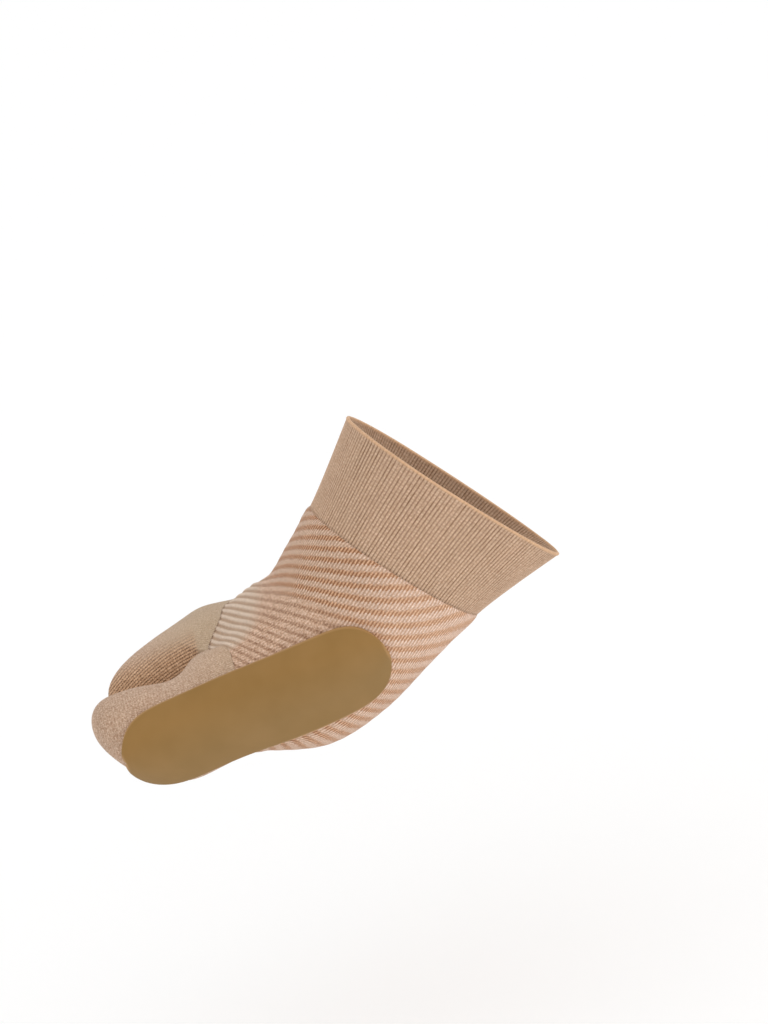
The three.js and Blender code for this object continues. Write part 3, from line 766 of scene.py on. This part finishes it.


# Moulded soft gel: matt and slightly cloudy, golden olive above and greyer below, its thin warm rim lighter
# as painted highlight
def soft_gel():
    made, tree, surface = material("olive_tan_matt_gel")
    rim = add(tree, "Attribute", output="Fac", attribute_name="rim")
    across = add(tree, "Attribute", output="Fac", attribute_name="across")
    high = add(tree, "MapRange", {"Value": across, "From Min": 0.25, "From Max": 0.75})
    body = add(tree, "Mix", {0: high, 6: linear("#8E7045"), 7: linear("#916A31")}, 2, data_type="RGBA")
    patches = heather(tree, 0.016, 0, 1)
    cloud = add(tree, "Mix", {0: patches, 6: linear("#84632A"), 7: linear("#95713C")}, 2, data_type="RGBA")
    body = add(tree, "Mix", {0: 0.45, 6: body, 7: cloud}, 2, data_type="RGBA")
    # Painted highlight: the rim is lighter, partly its warmer colour and partly light on its rounded edge
    edge = add(tree, "MapRange", {"Value": rim, "From Min": 0.3, "From Max": 1})
    colour = add(tree, "Mix", {0: edge, 6: body, 7: linear("#AB8250")}, 2, data_type="RGBA")
    tree.links.new(colour, surface.inputs["Base Color"])
    # The mould's grain is finer than this, and is drawn 0.4 mm wide to show
    grain = add(tree, "TexNoise", {"Vector": add(tree, "TexCoord", output="Object"), "Scale": 1 / 0.0004})
    relief = add(tree, "Bump", {"Height": grain, "Distance": 0.00003, "Strength": 0.6})
    tree.links.new(relief, surface.inputs["Normal"])
    surface.inputs["Roughness"].default_value = 0.6
    surface.inputs["IOR"].default_value = 1.43
    return made


# Plain white paper under and behind the part
def white_paper():
    made, tree, surface = material("white_paper")
    surface.inputs["Base Color"].default_value = linear("#FFFFFF")
    surface.inputs["Roughness"].default_value = 0.9
    return made


cuff = ribbed_cuff()
sleeve = striped_sleeve()
big_toe, big_toe_skin = toe_pocket("plain_knit_big_toe_pocket", BIG_TOE, True)
four_toes = toe_pocket("plain_knit_four_toe_pocket", FOUR_TOES, False)[0]
strip = soft_strip(skin_tree([big_toe_skin[::-1], sleeve_rings(60)[0]]))

jersey = plain_knit()
for piece, node, slot, look in (
    (cuff, "ribbed_cuff", "ribbed_knit", ribbed_knit()),
    (sleeve, "striped_sleeve", "striped_knit", striped_knit()),
    (big_toe, "big_toe_pocket", "plain_knit", jersey),
    (four_toes, "four_toe_pocket", "plain_knit", jersey),
    (strip, "bunion_pad", "soft_strip", soft_gel()),
):
    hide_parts(node)
    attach(piece, "root")
    piece.data.materials.append(look)

# Floor and light
FLOOR_LEVEL = -0.2
bpy.ops.mesh.primitive_plane_add(size=30, location=(0, 0, FLOOR_LEVEL))
floor = bpy.context.object
floor.name = "floor"
floor.data.materials.append(white_paper())

world = bpy.data.worlds.new("studio")
bpy.context.scene.world = world
world.use_nodes = True
world.node_tree.nodes["Background"].inputs["Color"].default_value = (1, 1, 1, 1)
world.node_tree.nodes["Background"].inputs["Strength"].default_value = 1.0

# Soft light from the heel's side, low
bpy.ops.object.light_add(type="AREA", location=(0.85, -0.75, 0.08))
softbox = bpy.context.object
softbox.name = "softbox"
softbox.data.shape = "DISK"
softbox.data.size = 0.5
softbox.data.energy = 1.5
softbox.rotation_euler = (Vector((-0.05, 0, -0.03)) - softbox.location).to_track_quat("-Z", "Y").to_euler()

# Camera: 20 degrees over the horizon, square to the big-toe side, rolled by 16 degrees
VIEW_HEIGHT = 0.3789  # what the picture's height spans at the foot
VIEW_DISTANCE = 2.4
VIEW_ELEVATION = math.radians(20)
VIEW_ROLL = math.radians(16)
NEAR_POINT = Vector((-0.08799, -0.0286, -0.07319))  # low point at the big toe's root
CENTRE_RIGHT, CENTRE_UP = 0.03848, 0.0888  # the picture's centre from that point
ahead = Vector((0, math.cos(VIEW_ELEVATION), -math.sin(VIEW_ELEVATION)))
level_up = Vector((0, math.sin(VIEW_ELEVATION), math.cos(VIEW_ELEVATION)))
right = math.cos(VIEW_ROLL) * Vector((1, 0, 0)) - math.sin(VIEW_ROLL) * level_up
up = math.sin(VIEW_ROLL) * Vector((1, 0, 0)) + math.cos(VIEW_ROLL) * level_up
target = NEAR_POINT + CENTRE_RIGHT * right + CENTRE_UP * up
camera_data = bpy.data.cameras.new("camera")
camera_data.sensor_fit = "VERTICAL"
camera_data.sensor_height = 24
camera_data.lens = camera_data.sensor_height * VIEW_DISTANCE / VIEW_HEIGHT
camera_data.clip_end = 100
camera = bpy.data.objects.new("camera", camera_data)
bpy.context.scene.collection.objects.link(camera)
camera.matrix_world = Matrix.Translation(target - VIEW_DISTANCE * ahead) @ Matrix(
    (right, up, -ahead)
).transposed().to_4x4()
bpy.context.scene.camera = camera
bpy.context.scene.view_settings.view_transform = "Standard"
